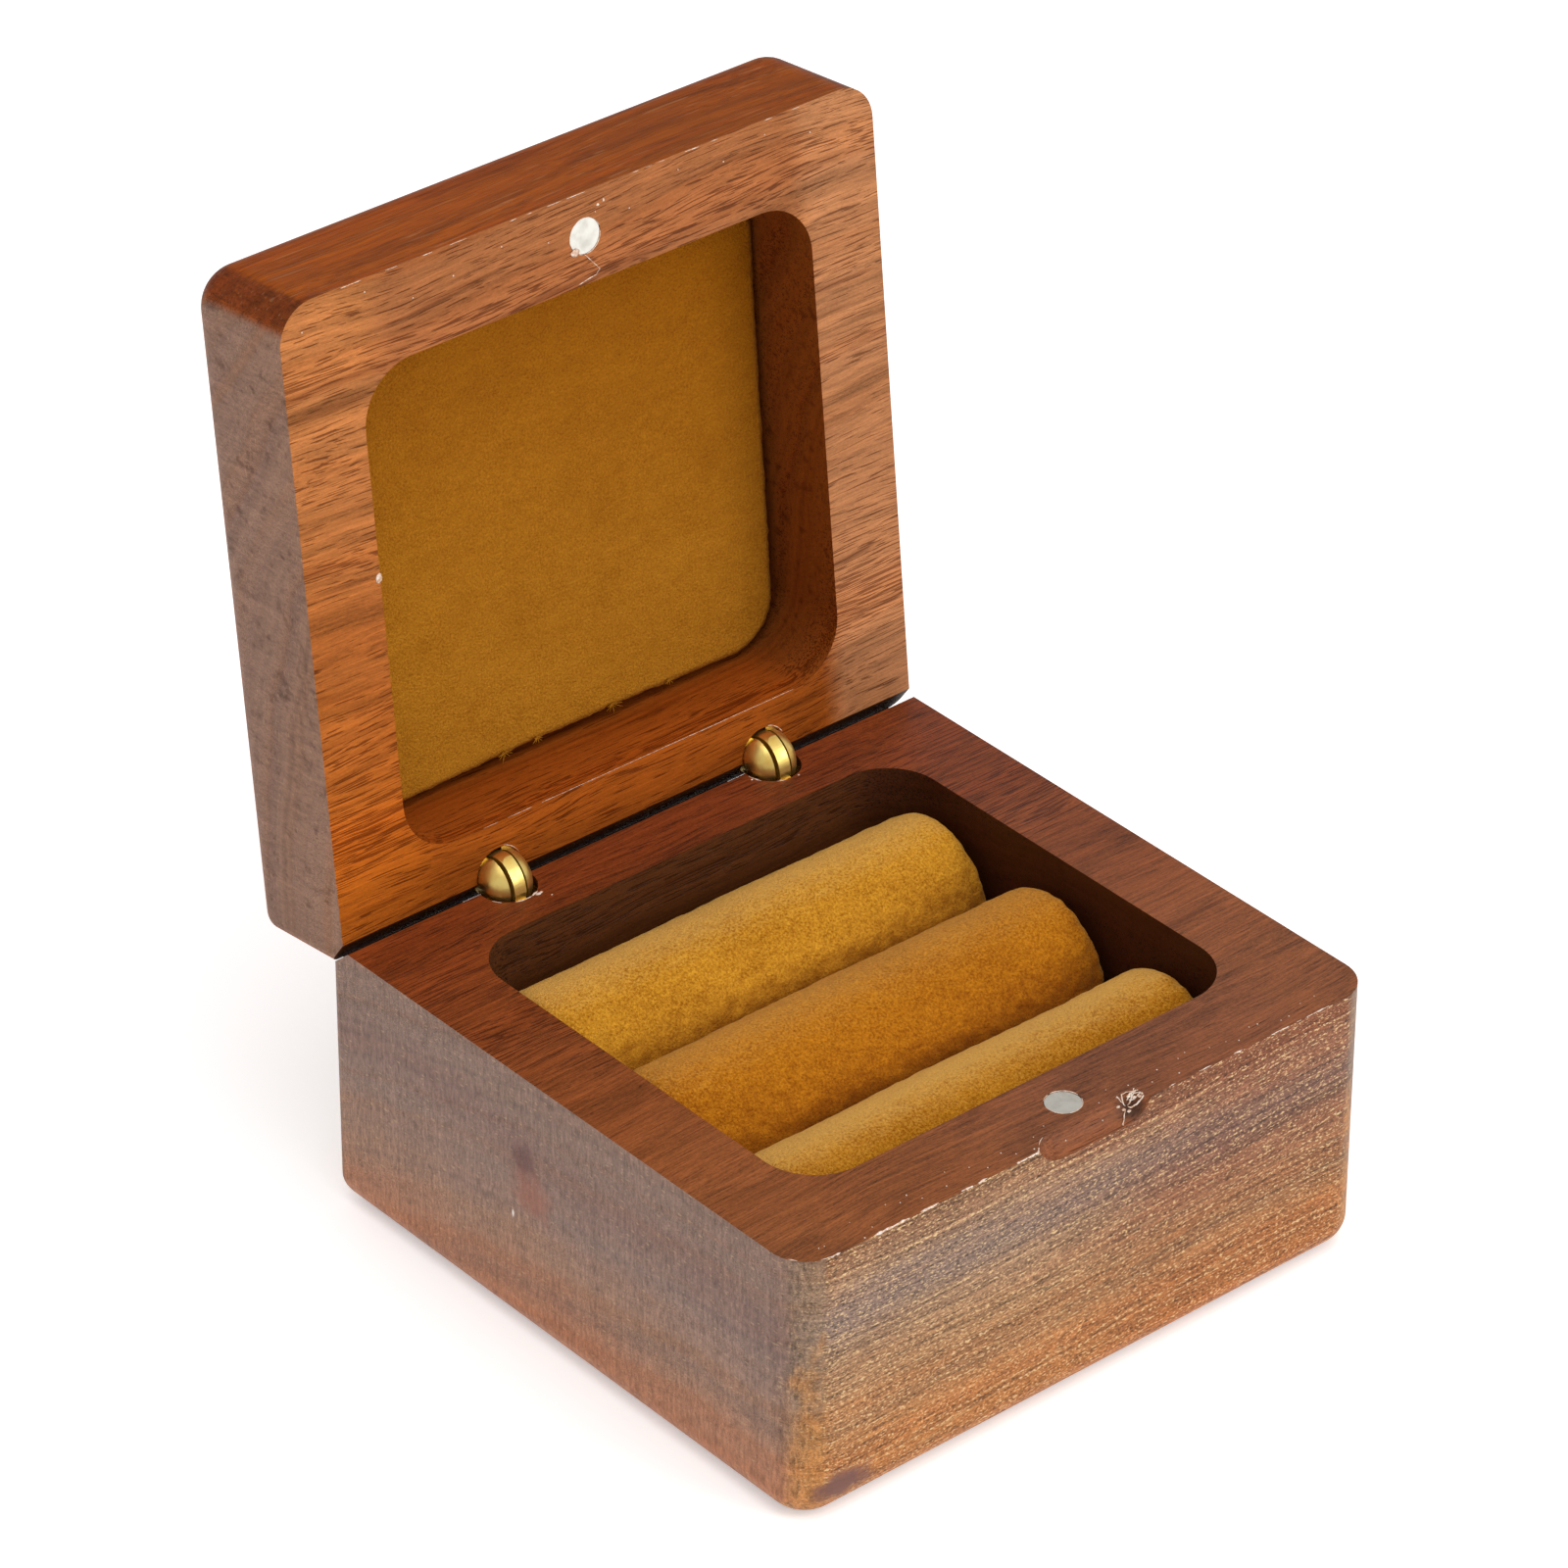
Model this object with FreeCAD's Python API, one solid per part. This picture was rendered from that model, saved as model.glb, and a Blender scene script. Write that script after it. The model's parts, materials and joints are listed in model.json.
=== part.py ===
import FreeCAD, Part
import math
import os

# Ring box: two milled walnut halves joined by a pair of barrel hinges, with a
# three-roll velvet ring cushion in the base and a velvet panel in the lid.
# Frame: millimetres, +Z up, +Y to the back (hinge side), origin at the centre
# of the base's underside.  The lid is drawn closed, then swung open.

# ---- outer sizes -----------------------------------------------------------
box_width = 60.0
box_depth = 58.0
base_height = 25.0
lid_height = 12.0
front_corner_radius = 3.4
back_corner_radius = 1.0
outer_edge_fillet = 2.6

# ---- lid motion ------------------------------------------------------------
open_angle = 96.0
mouth_gap = 0.2
pin_inset = 1.9
back_chamfer = 2.35
stop_clearance = 0.06

# ---- pockets ---------------------------------------------------------------
pocket_side_wall = 7.2
pocket_corner_radius = 5.0
base_front_wall = 7.7
base_back_wall = 8.1
base_pocket_depth = 18.5
lid_front_wall = 7.9
lid_back_wall = 7.1
lid_pocket_depth = 9.3

# ---- thumb notch in the base's front edge ----------------------------------
notch_half_width = 5.8
notch_depth_in = 1.5
notch_depth_down = 1.7
notch_axis_rise = 1.0

# ---- closing magnets -------------------------------------------------------
magnet_diameter = 3.0
magnet_thickness = 2.0
magnet_inset = 3.8
magnet_hole_clearance = 0.06
magnet_recess = 0.04

# ---- barrel hinges ---------------------------------------------------------
hinge_x = 14.0
barrel_radius = 2.5
barrel_length = 8.0
barrel_inset = 2.7
lid_barrel_radius = 2.3
lid_barrel_inset = 2.5
lid_barrel_sink = 0.3
base_barrel_sink = 0.35
barrel_bore_clearance = 0.02
knuckle_clearance = 0.08
knuckle_split_left = -0.9
knuckle_split_right = 0.5
knuckle_slit = 0.24
knuckle_sweep = 110.0
middle_knuckle_radius = 2.85
lug_radius = 1.1
pin_radius = 0.5
pin_half_length = 2.1
pin_running_clearance = 0.03
ball_radius = 2.75
ball_ahead_of_pin = 0.55

# ---- ring cushion ----------------------------------------------------------
card_thickness = 1.0
card_clearance = 0.3
roll_end_gap = 0.6
roll_end_fillet = 1.3
roll_widths = [14.1, 14.1, 13.3]
roll_top_below_rim = [1.75, 1.9, 2.6]
roll_names = ["back", "middle", "front"]
velvet_thickness = 0.9

# ---- lid panel -------------------------------------------------------------
panel_card_inset = 0.7
panel_foam_inset = 0.9
panel_velvet_inset = 0.5
panel_card_thickness = 0.8
panel_foam_thickness = 0.8
panel_velvet_thickness = 0.7
panel_right_taper = 0.8
panel_low_rise = 0.1
panel_low_bow = 0.45

# ---- derived ---------------------------------------------------------------
half_width = box_width / 2.0
half_depth = box_depth / 2.0
pin_y = half_depth - pin_inset
pin_z = base_height + mouth_gap / 2.0
lid_mouth_z = base_height + mouth_gap
barrel_y = half_depth - barrel_inset
barrel_offset = barrel_inset - pin_inset
lid_barrel_y = half_depth - lid_barrel_inset
# the two bevels close up at the outer back edge when the lid is fully open
chamfer_drop = pin_inset * math.tan(math.radians(open_angle / 2.0)) - mouth_gap / 2.0
chamfer_drop += stop_clearance
margin = 1.0
tolerance = 0.001
reach = 4.0 * barrel_radius
sector_steps = 12
straight_back = 90.0


def vec(x, y, z):
    return FreeCAD.Vector(x, y, z)


def block(x0, x1, y0, y1, z0, z1):
    return Part.makeBox(x1 - x0, y1 - y0, z1 - z0, vec(x0, y0, z0))


def prism_x(points, x0, x1):
    """Solid with a (y, z) outline, running along X from x0 to x1."""
    wire = Part.makePolygon([vec(x0, y, z) for y, z in points + points[:1]])
    return Part.Face(wire).extrude(vec(x1 - x0, 0, 0))


def rounded_slab(x0, x1, y0, y1, z0, z1, radius):
    """Plate with rounded vertical corners."""
    slab = block(x0, x1, y0, y1, z0, z1)
    return slab.makeFillet(radius, vertical_edges(slab))


def vertical_edges(shape):
    found = []
    for edge in shape.Edges:
        box = edge.BoundBox
        if box.ZLength > box.XLength + box.YLength and len(edge.Vertexes) == 2:
            found.append(edge)
    return found


def shell_blank(z_low, z_high, rounded_z):
    """Outer block of one half, filleted on its outer face and its corners."""
    blank = block(-half_width, half_width, -half_depth, half_depth, z_low, z_high)
    front = []
    for edge in vertical_edges(blank):
        if edge.BoundBox.YMin < 0.0:
            front.append(edge)
    blank = blank.makeFillet(front_corner_radius, front)
    rim = []
    for edge in blank.Edges:
        box = edge.BoundBox
        if abs(box.ZMin - rounded_z) < tolerance and abs(box.ZMax - rounded_z) < tolerance:
            rim.append(edge)
    blank = blank.makeFillet(outer_edge_fillet, rim)
    back = []
    for edge in vertical_edges(blank):
        box = edge.BoundBox
        at_corner = abs(abs(box.XMin) - half_width) < tolerance
        if at_corner and abs(box.YMin - half_depth) < tolerance:
            back.append(edge)
    return blank.makeFillet(back_corner_radius, back)


def chamfer_cutter(mouth_z, sign):
    """Wedge that bevels a half's meeting back edge; sign -1 below, +1 above."""
    run = back_chamfer + margin
    drop = sign * chamfer_drop * run / back_chamfer
    lift = -sign * reach
    points = [
        (half_depth - back_chamfer, mouth_z),
        (half_depth - back_chamfer + run, mouth_z + drop),
        (half_depth - back_chamfer + run, mouth_z + lift),
        (half_depth - back_chamfer, mouth_z + lift),
    ]
    return prism_x(points, -half_width - margin, half_width + margin)


def notch_scoop():
    """Round-ended scoop, lying along the front rim, that cuts the thumb notch."""
    down_and_rise = notch_depth_down * (notch_depth_down + 2.0 * notch_axis_rise)
    out = (down_and_rise - notch_depth_in ** 2) / (2.0 * notch_depth_in)
    radius = math.hypot(notch_depth_in + out, notch_axis_rise)
    end_reach = math.sqrt(radius ** 2 - out ** 2 - notch_axis_rise ** 2)
    straight = notch_half_width - end_reach
    y = -half_depth - out
    z = base_height + notch_axis_rise
    scoop = Part.makeCylinder(radius, 2.0 * straight, vec(-straight, y, z), vec(1, 0, 0))
    for x in (-straight, straight):
        scoop = scoop.fuse(Part.makeSphere(radius, vec(x, y, z)))
    return scoop.removeSplitter()


def base_block():
    body = shell_blank(0.0, base_height, 0.0)
    pocket = rounded_slab(
        -half_width + pocket_side_wall,
        half_width - pocket_side_wall,
        -half_depth + base_front_wall,
        half_depth - base_back_wall,
        base_height - base_pocket_depth,
        base_height + margin,
        pocket_corner_radius,
    )
    body = body.cut(pocket)
    body = body.cut(chamfer_cutter(base_height, -1.0))
    body = body.cut(notch_scoop())
    for x in (-hinge_x, hinge_x):
        hole = Part.makeCylinder(
            barrel_radius + barrel_bore_clearance,
            barrel_length + margin,
            vec(x, barrel_y, base_height - barrel_length),
        )
        body = body.cut(hole)
    return body.cut(magnet_hole(base_height - magnet_thickness - magnet_recess))


def lid_block():
    top_z = lid_mouth_z + lid_height
    body = shell_blank(lid_mouth_z, top_z, top_z)
    pocket = rounded_slab(
        -half_width + pocket_side_wall,
        half_width - pocket_side_wall,
        -half_depth + lid_front_wall,
        half_depth - lid_back_wall,
        lid_mouth_z - margin,
        lid_mouth_z + lid_pocket_depth,
        pocket_corner_radius,
    )
    body = body.cut(pocket)
    body = body.cut(chamfer_cutter(lid_mouth_z, 1.0))
    for x in (-hinge_x, hinge_x):
        hole = Part.makeCylinder(
            lid_barrel_radius + barrel_bore_clearance,
            barrel_length + margin,
            vec(x, lid_barrel_y, lid_mouth_z - margin),
        )
        body = body.cut(hole)
    return body.cut(magnet_hole(lid_mouth_z - margin))


def magnet_hole(z):
    """Blind hole whose open end runs a margin past the mouth face."""
    height = magnet_thickness + magnet_recess + margin
    radius = magnet_diameter / 2.0 + magnet_hole_clearance
    return Part.makeCylinder(radius, height, vec(0, -half_depth + magnet_inset, z))


def magnet(z):
    centre = vec(0, -half_depth + magnet_inset, z)
    return Part.makeCylinder(magnet_diameter / 2.0, magnet_thickness, centre)


def ball_revolve(x, radius, rise):
    """Body of revolution about the pin: an arc of the barrel's radius, raised off the pin."""
    left = vec(x - radius, pin_y, pin_z)
    right = vec(x + radius, pin_y, pin_z)
    left_up = vec(x - radius, pin_y, pin_z + rise)
    right_up = vec(x + radius, pin_y, pin_z + rise)
    crown = vec(x, pin_y, pin_z + rise + radius)
    edges = [
        Part.Arc(left_up, crown, right_up).toShape(),
        Part.makeLine(right_up, right),
        Part.makeLine(right, left),
        Part.makeLine(left, left_up),
    ]
    face = Part.Face(Part.Wire(edges))
    return face.revolve(vec(x, pin_y, pin_z), vec(1, 0, 0), 360.0)


def sector(x0, x1, start, stop):
    """Pie slice about the pin; angles in degrees from the front, up positive."""
    points = [(pin_y, pin_z)]
    for i in range(sector_steps + 1):
        a = math.radians(start + (stop - start) * i / sector_steps)
        points.append((pin_y - reach * math.cos(a), pin_z + reach * math.sin(a)))
    return prism_x(points, x0, x1)


def open_ball(x, turn):
    """Ball the knuckles form while the box is open; turn is the half's own swing."""
    ball = Part.makeSphere(ball_radius, vec(x, pin_y - ball_ahead_of_pin, pin_z))
    ball.rotate(vec(x, pin_y, pin_z), vec(1, 0, 0), turn)
    return ball


def about_pin(x0, x1, radius):
    return Part.makeCylinder(radius, x1 - x0, vec(x0, pin_y, pin_z), vec(1, 0, 0))


def knuckle(ball, x0, x1, start, stop):
    """The part of a hinge ball between two slits and two angles, with its lug."""
    keep = sector(x0, x1, start, stop).fuse(about_pin(x0, x1, lug_radius))
    return ball.common(keep)


def hinge_ball(x, radius, axis_y, turn):
    """Knuckle blank that clears the hole of a barrel with this radius and axis."""
    sleeve = Part.makeCylinder(
        radius - knuckle_clearance / 2.0,
        2.0 * reach,
        vec(x, axis_y, pin_z - reach),
    )
    ball = ball_revolve(x, radius - knuckle_clearance, pin_y - axis_y)
    return ball.common(sleeve).common(open_ball(x, turn))


def pin_bore(x, clearance):
    half_length = pin_half_length + clearance
    return about_pin(x - half_length, x + half_length, pin_radius + clearance)


def base_barrel(x):
    """Lower barrel, sunk a little below the rim, with the single middle knuckle."""
    left = x + knuckle_split_left + knuckle_slit / 2.0
    right = x + knuckle_split_right - knuckle_slit / 2.0
    body = Part.makeCylinder(
        barrel_radius,
        barrel_length - base_barrel_sink,
        vec(x, barrel_y, base_height - barrel_length),
    )
    body = body.cut(chamfer_cutter(base_height - base_barrel_sink, -1.0))
    recess = ball_revolve(x, barrel_radius + knuckle_clearance, barrel_offset)
    wall = block(left, right, pin_y - reach, pin_y + reach, pin_z - reach, pin_z + reach)
    body = body.cut(recess.cut(wall))
    ball = hinge_ball(x, barrel_radius, barrel_y, 0.0)
    ball = ball.common(about_pin(left, right, middle_knuckle_radius))
    body = body.fuse(knuckle(ball, left, right, -straight_back, knuckle_sweep))
    return body.cut(pin_bore(x, pin_running_clearance)).removeSplitter()


def lid_barrel(x):
    """Upper barrel, sunk a little below the lid's mouth, with the two outer knuckles."""
    left = x + knuckle_split_left - knuckle_slit / 2.0
    right = x + knuckle_split_right + knuckle_slit / 2.0
    foot_z = lid_mouth_z + lid_barrel_sink
    body = Part.makeCylinder(
        lid_barrel_radius, barrel_length - lid_barrel_sink, vec(x, lid_barrel_y, foot_z)
    )
    body = body.cut(chamfer_cutter(foot_z, 1.0))
    body = body.cut(about_pin(left, right, middle_knuckle_radius + knuckle_clearance))
    ball = hinge_ball(x, lid_barrel_radius, lid_barrel_y, open_angle)
    low = x - barrel_radius
    high = x + barrel_radius
    body = body.fuse(knuckle(ball, low, left, -knuckle_sweep, straight_back))
    body = body.fuse(knuckle(ball, right, high, -knuckle_sweep, straight_back))
    return body.cut(pin_bore(x, 0.0)).removeSplitter()


def roll_section(y, z_low, z_high, half):
    """Arched outline of a cushion roll in the Y-Z plane."""
    shoulder = z_high - half
    low_left = vec(0, y - half, z_low)
    low_right = vec(0, y + half, z_low)
    up_left = vec(0, y - half, shoulder)
    up_right = vec(0, y + half, shoulder)
    edges = [
        Part.makeLine(low_left, low_right),
        Part.makeLine(low_right, up_right),
        Part.Arc(up_right, vec(0, y, z_high), up_left).toShape(),
        Part.makeLine(up_left, low_left),
    ]
    return Part.Face(Part.Wire(edges))


def roll_solid(y, z_low, z_high, half, half_length, fillet):
    """Arched roll along X with softened ends."""
    face = roll_section(y, z_low, z_high, half)
    face.translate(vec(-half_length, 0, 0))
    body = face.extrude(vec(2.0 * half_length, 0, 0))
    ends = []
    for edge in body.Edges:
        box = edge.BoundBox
        at_end = abs(abs(box.XMin) - half_length) < tolerance and box.XLength < tolerance
        if at_end and box.ZMax > z_low + tolerance:
            ends.append(edge)
    return body.makeFillet(fillet, ends)


def cushion_parts():
    """Backing card, three foam cores and their velvet covers."""
    parts = {}
    floor_z = base_height - base_pocket_depth
    card_top = floor_z + card_thickness
    y_front = -half_depth + base_front_wall
    y_back = half_depth - base_back_wall
    x_in = half_width - pocket_side_wall
    parts["cushion_card"] = rounded_slab(
        -x_in + card_clearance,
        x_in - card_clearance,
        y_front + card_clearance,
        y_back - card_clearance,
        floor_z,
        card_top,
        pocket_corner_radius - card_clearance,
    )
    gap = (y_back - y_front - sum(roll_widths)) / (len(roll_names) + 1)
    length = x_in - roll_end_gap
    edge = y_back
    for i, name in enumerate(roll_names):
        half = roll_widths[i] / 2.0
        y = edge - gap - half
        edge = y - half
        top = base_height - roll_top_below_rim[i]
        outer = roll_solid(y, card_top, top, half, length, roll_end_fillet)
        core = roll_solid(
            y,
            card_top,
            top - velvet_thickness,
            half - velvet_thickness,
            length - velvet_thickness,
            roll_end_fillet - velvet_thickness,
        )
        corner = roll_corner_trim(y_front, y_back, x_in, gap / 2.0)
        parts["roll_core_" + name] = core.common(corner)
        parts["roll_velvet_" + name] = outer.cut(core).common(corner)
    return parts


def roll_corner_trim(y_front, y_back, x_in, air):
    """Space the rolls may fill: the pocket with a little air all round."""
    return rounded_slab(
        -x_in + air,
        x_in - air,
        y_front + air,
        y_back - air,
        0.0,
        base_height + margin,
        pocket_corner_radius - air,
    )


def panel_layer(z0, thickness, inset):
    """One flat layer of the lid panel; it tapers and its hinge-side edge bows in."""
    x_out = half_width - pocket_side_wall - inset
    y_front = -half_depth + lid_front_wall + inset
    y_back = half_depth - lid_back_wall - inset
    front_left = vec(-x_out, y_front, z0)
    front_right = vec(x_out, y_front, z0)
    back_right = vec(x_out - panel_right_taper, y_back - panel_low_rise, z0)
    back_left = vec(-x_out, y_back, z0)
    bow = vec(0, y_back - panel_low_rise / 2.0 - panel_low_bow, z0)
    edges = [
        Part.makeLine(front_left, front_right),
        Part.makeLine(front_right, back_right),
        Part.Arc(back_right, bow, back_left).toShape(),
        Part.makeLine(back_left, front_left),
    ]
    layer = Part.Face(Part.Wire(edges)).extrude(vec(0, 0, thickness))
    corners = []
    for edge in layer.Edges:
        if edge.BoundBox.ZLength > thickness - tolerance:
            corners.append(edge)
    return layer.makeFillet(pocket_corner_radius - inset, corners)


def lid_panel():
    """Card, foam and velvet glued into the lid's pocket."""
    ceiling = lid_mouth_z + lid_pocket_depth
    card_low = ceiling - panel_card_thickness
    foam_low = card_low - panel_foam_thickness
    velvet_low = foam_low - panel_velvet_thickness
    return {
        "lid_panel_card": panel_layer(card_low, panel_card_thickness, panel_card_inset),
        "lid_panel_foam": panel_layer(foam_low, panel_foam_thickness, panel_foam_inset),
        "lid_panel_velvet": panel_layer(
            velvet_low, panel_velvet_thickness, panel_velvet_inset
        ),
    }


def swing_open(shape):
    opened = shape.copy()
    opened.rotate(vec(0, pin_y, pin_z), vec(1, 0, 0), -open_angle)
    return opened


def build():
    fixed = {
        "base_block": base_block(),
        "base_magnet": magnet(base_height - magnet_recess - magnet_thickness),
    }
    fixed.update(cushion_parts())
    swinging = {
        "lid_block": lid_block(),
        "lid_magnet": magnet(lid_mouth_z + magnet_recess),
    }
    swinging.update(lid_panel())
    for side, x in (("left", -hinge_x), ("right", hinge_x)):
        fixed["hinge_" + side + "_base_barrel"] = base_barrel(x)
        swinging["hinge_" + side + "_lid_barrel"] = lid_barrel(x)
        swinging["hinge_" + side + "_pin"] = pin_bore(x, 0.0)
    for name, shape in swinging.items():
        fixed[name] = swing_open(shape)
    return fixed


os.makedirs("parts", exist_ok=True)
for node, solid in sorted(build().items()):
    solid.exportStep("parts/" + node + ".step")
    print(node, solid.isValid(), len(solid.Solids), round(solid.Volume, 2))
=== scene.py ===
"""Looks of the hinged ring box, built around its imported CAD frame."""
import json
import math
from types import SimpleNamespace

import bmesh
import bpy
from mathutils import Matrix, Vector, noise


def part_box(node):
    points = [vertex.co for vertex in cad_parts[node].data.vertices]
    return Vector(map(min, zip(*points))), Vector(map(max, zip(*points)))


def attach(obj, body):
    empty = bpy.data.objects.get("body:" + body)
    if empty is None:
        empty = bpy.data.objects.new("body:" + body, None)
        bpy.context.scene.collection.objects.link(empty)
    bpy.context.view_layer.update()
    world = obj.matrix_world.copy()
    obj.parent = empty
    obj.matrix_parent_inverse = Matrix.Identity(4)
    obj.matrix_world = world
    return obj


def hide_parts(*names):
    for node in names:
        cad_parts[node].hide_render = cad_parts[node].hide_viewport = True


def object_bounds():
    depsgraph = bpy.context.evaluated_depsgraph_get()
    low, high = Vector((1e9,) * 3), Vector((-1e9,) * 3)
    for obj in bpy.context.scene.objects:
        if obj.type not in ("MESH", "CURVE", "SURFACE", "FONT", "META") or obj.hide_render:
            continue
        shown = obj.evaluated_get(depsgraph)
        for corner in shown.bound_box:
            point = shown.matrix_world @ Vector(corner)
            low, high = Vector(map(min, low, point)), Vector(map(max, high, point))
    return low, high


MM = 0.001
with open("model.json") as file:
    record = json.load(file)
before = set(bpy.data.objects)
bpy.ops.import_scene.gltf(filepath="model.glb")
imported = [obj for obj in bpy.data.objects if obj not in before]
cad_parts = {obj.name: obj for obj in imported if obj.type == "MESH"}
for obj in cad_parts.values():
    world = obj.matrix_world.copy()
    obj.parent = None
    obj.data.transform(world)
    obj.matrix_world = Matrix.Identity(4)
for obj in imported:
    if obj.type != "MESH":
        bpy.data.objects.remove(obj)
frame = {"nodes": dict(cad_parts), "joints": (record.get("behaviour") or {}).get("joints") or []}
cad_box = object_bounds()

HINGE = frame["joints"][0]
PIVOT = Vector(HINGE["pos_m"])
SHUT_ANGLE = math.radians(HINGE["range_deg"][1])
# lid pieces are laid out in the shut frame, the one the lid has when the box is shut
TO_SHUT = (
    Matrix.Translation(PIVOT) @ Matrix.Rotation(SHUT_ANGLE, 4, "X") @ Matrix.Translation(-PIVOT)
)
TO_OPEN = TO_SHUT.inverted()


def tone(red, green, blue):
    """Linear colour from an ordinary 0-255 screen colour."""
    out = []
    for value in (red, green, blue):
        v = value / 255.0
        out.append(v / 12.92 if v <= 0.04045 else ((v + 0.055) / 1.055) ** 2.4)
    return (*out, 1.0)


# ---- shader building --------------------------------------------------------
class Shader:
    """One material's node tree, with short calls for what repeats."""

    def __init__(self, name):
        self.material = bpy.data.materials.new(name)
        self.material.use_nodes = True
        self.tree = self.material.node_tree
        self.tree.nodes.clear()
        self.bsdf = self.node("ShaderNodeBsdfPrincipled")
        output = self.node("ShaderNodeOutputMaterial")
        self.tree.links.new(self.bsdf.outputs[0], output.inputs["Surface"])

    def node(self, kind, **settings):
        made = self.tree.nodes.new(kind)
        for key, value in settings.items():
            setattr(made, key, value)
        return made

    def feed(self, socket, value):
        if isinstance(value, bpy.types.NodeSocket):
            self.tree.links.new(value, socket)
        else:
            socket.default_value = value

    def put(self, made, **values):
        """Feeds a node's inputs by name, with _ for a space."""
        for key, value in values.items():
            self.feed(made.inputs[key.replace("_", " ")], value)

    def set(self, **values):
        self.put(self.bsdf, **values)

    def calc(self, operation, a, b=0.0, c=0.0, clamp=False):
        made = self.node("ShaderNodeMath", operation=operation, use_clamp=clamp)
        for socket, value in zip(made.inputs, (a, b, c)):
            self.feed(socket, value)
        return made.outputs[0]

    def times(self, a, b):
        return self.calc("MULTIPLY", a, b)

    def linear(self, a, slope, offset):
        return self.calc("MULTIPLY_ADD", a, slope, offset)

    def sway(self, field, share, base):
        """base plus a share of how far the noise field is from its middle."""
        return self.linear(self.calc("SUBTRACT", field, 0.5), share, base)

    def fit(self, value, low, high, start=0.0, end=1.0, smooth=True):
        made = self.node("ShaderNodeMapRange", clamp=True)
        made.interpolation_type = "SMOOTHSTEP" if smooth else "LINEAR"
        for socket, number in zip(made.inputs, (value, low, high, start, end)):
            self.feed(socket, number)
        return made.outputs[0]

    def own(self, kind, shut, pivot):
        """The object's own coordinates or normal, turned to the shut lid's frame if asked."""
        source = self.node("ShaderNodeTexCoord").outputs[kind]
        if not shut:
            return source
        turn = self.node("ShaderNodeVectorRotate", rotation_type="X_AXIS")
        self.put(turn, Vector=source, Center=pivot, Angle=SHUT_ANGLE)
        return turn.outputs[0]

    def object_mm(self, shut=False):
        return self.scaled(self.own("Object", shut, PIVOT), (1 / MM,) * 3)

    def object_normal(self, shut=False):
        return self.own("Normal", shut, (0, 0, 0))

    def scaled(self, vector, scale):
        made = self.node("ShaderNodeVectorMath", operation="MULTIPLY")
        self.feed(made.inputs[0], vector)
        made.inputs[1].default_value = scale
        return made.outputs[0]

    def split(self, vector):
        made = self.node("ShaderNodeSeparateXYZ")
        self.feed(made.inputs[0], vector)
        return made.outputs

    def join(self, x, y, z):
        made = self.node("ShaderNodeCombineXYZ")
        for socket, value in zip(made.inputs, (x, y, z)):
            self.feed(socket, value)
        return made.outputs[0]

    def grain(self, vector, scale, detail=2.0, roughness=0.5, warp=0.0):
        """Noise, 0 to 1, of a vector that is first scaled on each axis."""
        made = self.node("ShaderNodeTexNoise")
        self.put(made, Vector=self.scaled(vector, scale), Scale=1.0, Detail=detail)
        self.put(made, Roughness=roughness, Distortion=warp)
        return made.outputs["Fac"]

    def line_noise(self, value, scale, detail=2.0, roughness=0.55):
        """Noise, 0 to 1, along one number."""
        made = self.node("ShaderNodeTexNoise", noise_dimensions="1D")
        self.put(made, W=value, Scale=scale, Detail=detail, Roughness=roughness)
        return made.outputs["Fac"]

    def ramp(self, value, stops):
        made = self.node("ShaderNodeValToRGB")
        self.feed(made.inputs[0], value)
        elements = made.color_ramp.elements
        while len(elements) < len(stops):
            elements.new(1.0)
        for element, (place, colour) in zip(elements, stops):
            element.position = place
            element.color = colour
        return made.outputs[0]

    def blend(self, share, a, b, mode="MIX"):
        made = self.node("ShaderNodeMix", data_type="RGBA", blend_type=mode)
        made.clamp_factor = True
        self.feed(made.inputs["Factor"], share)
        self.feed(made.inputs[6], a)
        self.feed(made.inputs[7], b)
        return made.outputs[2]

    def shade(self, colour, factor):
        """The colour times a number that varies over the surface."""
        made = self.node("ShaderNodeVectorMath", operation="SCALE")
        self.put(made, Vector=colour, Scale=factor)
        return made.outputs[0]

    def spot(self, place, centre, size):
        """1 at the centre of an ellipsoid, fading to 0 at its ragged surface."""
        ragged = self.times(self.grain(place, (0.7, 0.7, 0.7), 2.0), 0.9)
        off = self.node("ShaderNodeVectorMath", operation="SUBTRACT")
        self.feed(off.inputs[0], place)
        off.inputs[1].default_value = centre
        far = self.node("ShaderNodeVectorMath", operation="LENGTH")
        self.feed(far.inputs[0], self.scaled(off.outputs[0], tuple(1 / v for v in size)))
        return self.fit(self.calc("ADD", far.outputs["Value"], ragged), 0.75, 1.5, 1.0, 0.0)

    def bump(self, height, depth_mm, strength=1.0, under=None):
        made = self.node("ShaderNodeBump")
        self.put(made, Strength=strength, Distance=depth_mm * MM, Height=height)
        if under is not None:
            self.put(made, Normal=under)
        return made.outputs[0]


# ---- wood -------------------------------------------------------------------
DARKEN = (0.34, 0.26, 0.22, 1)
COOL = (0.66, 0.68, 0.76, 1)
WARM = (1.06, 0.84, 0.6, 1)
FLECK = tone(220, 186, 136)
# near-black brown painted on the hinge-side bevels as the groove's shade
BEVEL_SHADE = tone(34, 18, 10)

# where the zones of a block begin and end, in millimetres from the box's middle
END_FACES = (25.0, 26.5)
LONG_FACES = (24.0, 25.4)
FRONT_CORNERS = (-25.4, -26.2)
RIGHT_WALL = (17.0, 21.0)
RIGHT_SIDE = (-10.0, 14.0)
BACK_BEVEL = (26.4, 26.9)


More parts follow.
